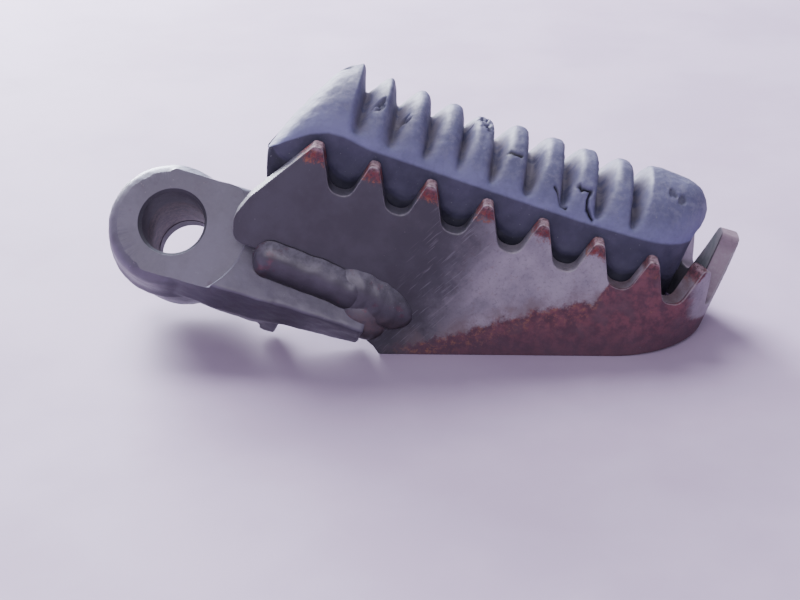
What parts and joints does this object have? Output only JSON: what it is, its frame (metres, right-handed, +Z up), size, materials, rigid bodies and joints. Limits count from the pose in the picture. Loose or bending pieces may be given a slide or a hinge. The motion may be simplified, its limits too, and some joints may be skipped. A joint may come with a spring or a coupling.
{
  "type": "motorcycle foot peg",
  "caption": "Foot peg with a forged pivot arm, a toothed U-shaped steel band and a ribbed rubber insert bolted inside it.",
  "frame": {"origin": "centre of the bounding box at the level of the surface the peg rests on", "axes": "+X outboard, from the pivot eye to the rounded outer end; +Z up as the peg lies at rest with its tread sloping down outboard at 20 degrees; -Y is the side the weld bead is on. Turning the row by -20 degrees about +Y makes the tread level, as it is when fitted"},
  "size_m": [0.1226, 0.037, 0.0516],
  "materials": {
    "forged_black": "satin black, dusty and scuffed",
    "worn_steel": "satin black worn to grey steel, rust along the lower edge and on the tooth tips",
    "weld_metal": "rippled weld under black paint",
    "grip_rubber": "aged, dusty on the ribs, cracked",
    "zinc_steel": "dull zinc plate"
  },
  "bodies": {
    "root": {"bridge_plate": "worn_steel", "hex_nut_inboard": "zinc_steel", "hex_nut_outboard": "zinc_steel", "insert_base_plate": "zinc_steel", "insert_stud_inboard": "zinc_steel", "insert_stud_outboard": "zinc_steel", "pivot_forging": "forged_black", "plain_washer_inboard": "zinc_steel", "plain_washer_outboard": "zinc_steel", "rubber_insert": "grip_rubber", "spring_washer_inboard": "zinc_steel", "spring_washer_outboard": "zinc_steel", "stitch_weld_far_inboard": "weld_metal", "stitch_weld_far_outboard": "weld_metal", "stitch_weld_near_inboard": "weld_metal", "stitch_weld_near_outboard": "weld_metal", "tread_band": "worn_steel", "weld_arm_to_bridge": "weld_metal", "weld_near_first_pass": "weld_metal", "weld_near_second_pass": "weld_metal"}
  },
  "joints": []
}
